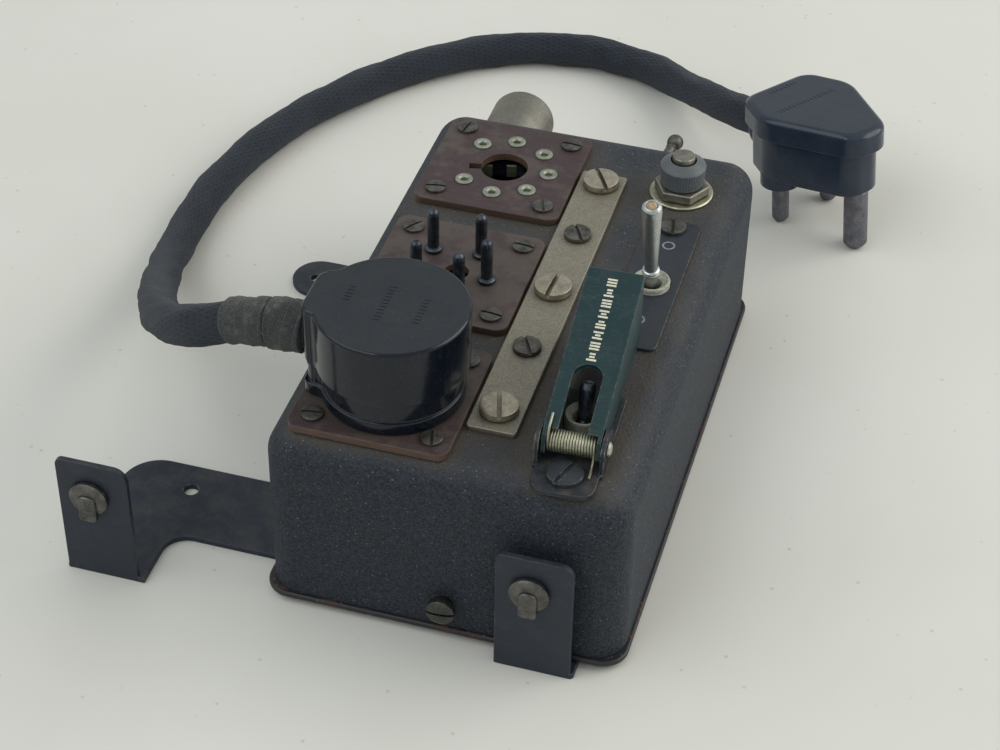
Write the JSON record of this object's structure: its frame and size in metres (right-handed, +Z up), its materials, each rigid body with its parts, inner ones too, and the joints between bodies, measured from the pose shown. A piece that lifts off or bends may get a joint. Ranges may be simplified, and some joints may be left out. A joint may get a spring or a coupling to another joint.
{
  "type": "switch and socket box",
  "caption": "Crackle-painted radio control box on a flat bracket, with socket panels, pin panel, guarded and plain toggles, push button and a braided lead with two plugs.",
  "frame": {"origin": "centre of the case, on the surface that the mounting bracket lies on", "axes": "+X to the right and +Y to the rear seen from the side with the side screw, +Z up out of the socket panels"},
  "size_m": [0.1968, 0.2706, 0.0809],
  "materials": {
    "crackle_paint": "wrinkled black crackle paint, dusty brown on top",
    "base_paint": "black paint worn to red-brown along the rim",
    "black_paint": "satin black enamel with bare chips",
    "paxolin": "red-brown resin-bonded laminate, paler along the cut edges",
    "nickel": "worn nickel plate",
    "dull_nickel": "dull oxidised nickel with fine scratches",
    "dark_steel": "dark oxidised steel",
    "brass": "pale tarnished brass",
    "green_paint": "dark green enamel, scratched",
    "bakelite": "black phenolic moulding, glossy sides and matt top",
    "braid": "dark blue-black cotton braid over rubber"
  },
  "bodies": {
    "case": {"case_housing": "crackle_paint", "case_base_plate": "base_paint", "mounting_bracket": "black_paint", "side_screw": "dark_steel", "panel_a_socket": "paxolin", "panel_a_contacts": "brass", "panel_b_pins": "paxolin", "panel_c_socket": "paxolin", "panel_c_contacts": "brass", "panel_a_screw_1": "dark_steel", "panel_a_screw_2": "dark_steel", "panel_a_screw_3": "dark_steel", "panel_a_screw_4": "dark_steel", "panel_b_screw_1": "dark_steel", "panel_b_screw_2": "dark_steel", "panel_b_screw_3": "dark_steel", "panel_b_screw_4": "dark_steel", "panel_c_screw_1": "dark_steel", "panel_c_screw_2": "dark_steel", "panel_c_screw_3": "dark_steel", "panel_c_screw_4": "dark_steel", "contact_pin_1": "dark_steel", "contact_pin_2": "dark_steel", "contact_pin_3": "dark_steel", "contact_pin_4": "dark_steel", "contact_pin_5": "dark_steel", "contact_strip": "dull_nickel", "strip_screw_1": "dull_nickel", "strip_screw_2": "dark_steel", "strip_screw_3": "dull_nickel", "strip_screw_4": "dark_steel", "strip_screw_5": "dull_nickel", "guard_base": "dark_steel", "guard_base_screw": "nickel", "guard_pin": "dull_nickel", "guard_spring": "brass", "guarded_switch": "nickel", "main_switch": "nickel", "toggle_label_plate": "black_paint", "toggle_label_screw": "nickel", "button_switch": "black_paint", "button_washer": "brass", "button_nut": "nickel", "button_collar": "black_paint", "rear_switch": "nickel", "rear_knob_bush": "dull_nickel"},
    "guard": {"guard_cover": "green_paint"},
    "guarded_lever": {"guarded_toggle": "nickel"},
    "main_lever": {"main_toggle": "nickel"},
    "button": {"button_plunger": "nickel"},
    "rear_lever": {"rear_ball_lever": "dark_steel"},
    "knob": {"rear_knob": "dull_nickel"},
    "left_stud": {"stud_left": "nickel"},
    "right_stud": {"stud_right": "nickel"},
    "lead": {"round_plug_body": "bakelite", "round_plug_lid": "bakelite", "lead_cord": "braid", "three_pin_plug_base": "bakelite", "three_pin_plug_cover": "bakelite"}
  },
  "joints": [
    {"name": "guard_hinge", "type": "hinge", "parent": "case", "child": "guard", "pos_m": [0.0273, -0.0594, 0.0563], "axis": [0.9992, 0.0393, 0], "range_deg": [0, 100], "stiffness_Nm_per_rad": 0.02, "springref_deg": -34.38},
    {"name": "guarded_toggle_throw", "type": "hinge", "parent": "case", "child": "guarded_lever", "pos_m": [0.02683, -0.04751, 0.0515], "axis": [0.9992, 0.0393, 0], "range_deg": [0, 44]},
    {"name": "main_toggle_throw", "type": "hinge", "parent": "case", "child": "main_lever", "pos_m": [0.0295, 0.0093, 0.05], "axis": [1, 0, 0], "range_deg": [-22, 0]},
    {"name": "button_press", "type": "slide", "parent": "case", "child": "button", "axis": [0, 0, -1], "range_m": [0, 0.0025], "stiffness_N_per_m": 400, "springref_m": -0.004},
    {"name": "rear_lever_throw", "type": "hinge", "parent": "case", "child": "rear_lever", "pos_m": [0.0159, 0.074, 0.041], "axis": [-0.627, 0, 0.779], "range_deg": [0, 35]},
    {"name": "rear_knob_turn", "type": "hinge", "parent": "case", "child": "knob", "pos_m": [-0.027, 0.08, 0.038], "axis": [0, 1, 0], "range_deg": [0, 300]},
    {"name": "left_stud_turn", "type": "hinge", "parent": "case", "child": "left_stud", "pos_m": [-0.0866, -0.0793, 0.026], "axis": [0, -1, 0], "range_deg": [0, 90]},
    {"name": "right_stud_turn", "type": "hinge", "parent": "case", "child": "right_stud", "pos_m": [0.0234, -0.0793, 0.026], "axis": [0, -1, 0], "range_deg": [0, 90]},
    {"name": "lead_lift", "type": "slide", "parent": "case", "child": "lead", "axis": [0, 0, 1], "range_m": [0, 0.022]}
  ]
}
